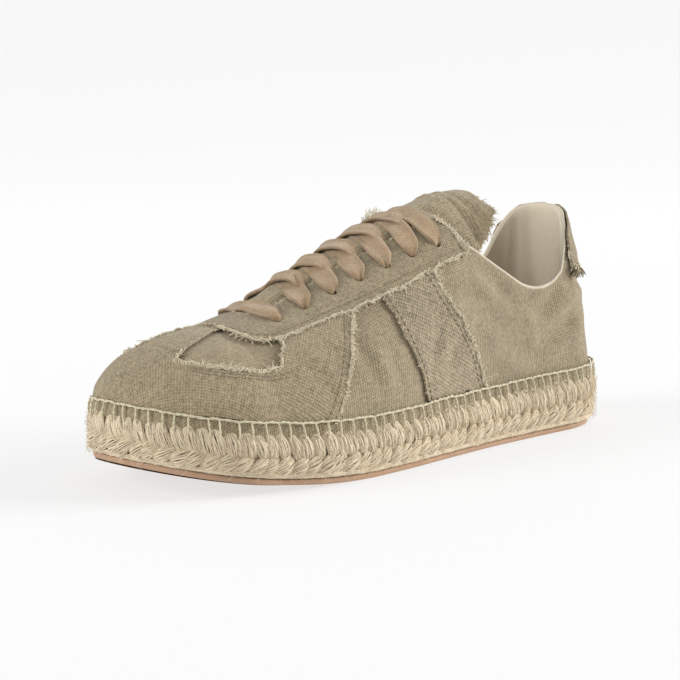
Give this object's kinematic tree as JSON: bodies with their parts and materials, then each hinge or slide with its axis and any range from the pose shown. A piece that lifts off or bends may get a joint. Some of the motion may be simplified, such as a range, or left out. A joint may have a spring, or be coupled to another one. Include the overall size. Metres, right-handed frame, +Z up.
{
  "type": "low-top shoe",
  "caption": "Left low-top canvas espadrille trainer: raw-edged panels, flat laces over a tongue, braided jute sole with toe spring.",
  "frame": {"origin": "middle of the shoe's length and width, on the floor that it stands on", "axes": "+X along the foot towards the toe, +Y towards the outer (lateral) side, +Z up"},
  "size_m": [0.27, 0.0963, 0.1088],
  "materials": {
    "canvas": "matte woven cotton canvas, khaki sand",
    "canvas_overlay": "matte woven canvas with raw frayed edges",
    "lining": "matte cotton twill",
    "jute": "matte plaited jute rope",
    "tan_rubber": "matte tan rubber",
    "lace": "soft flat cotton lace, faint sheen"
  },
  "bodies": {
    "root": {"outsole": "tan_rubber", "jute_midsole": "jute", "insole": "lining", "upper": "canvas", "eyestay": "canvas_overlay", "toe_overlay": "canvas_overlay", "side_panel_lateral": "canvas_overlay", "side_panel_medial": "canvas_overlay", "heel_patch": "canvas_overlay", "tongue": "canvas", "lace_bar_bottom": "lace", "lace_bar_top": "lace", "lace_crossing_1": "lace", "lace_crossing_2": "lace", "lace_crossing_3": "lace", "lace_crossing_4": "lace", "lace_crossing_5": "lace"}
  },
  "joints": []
}
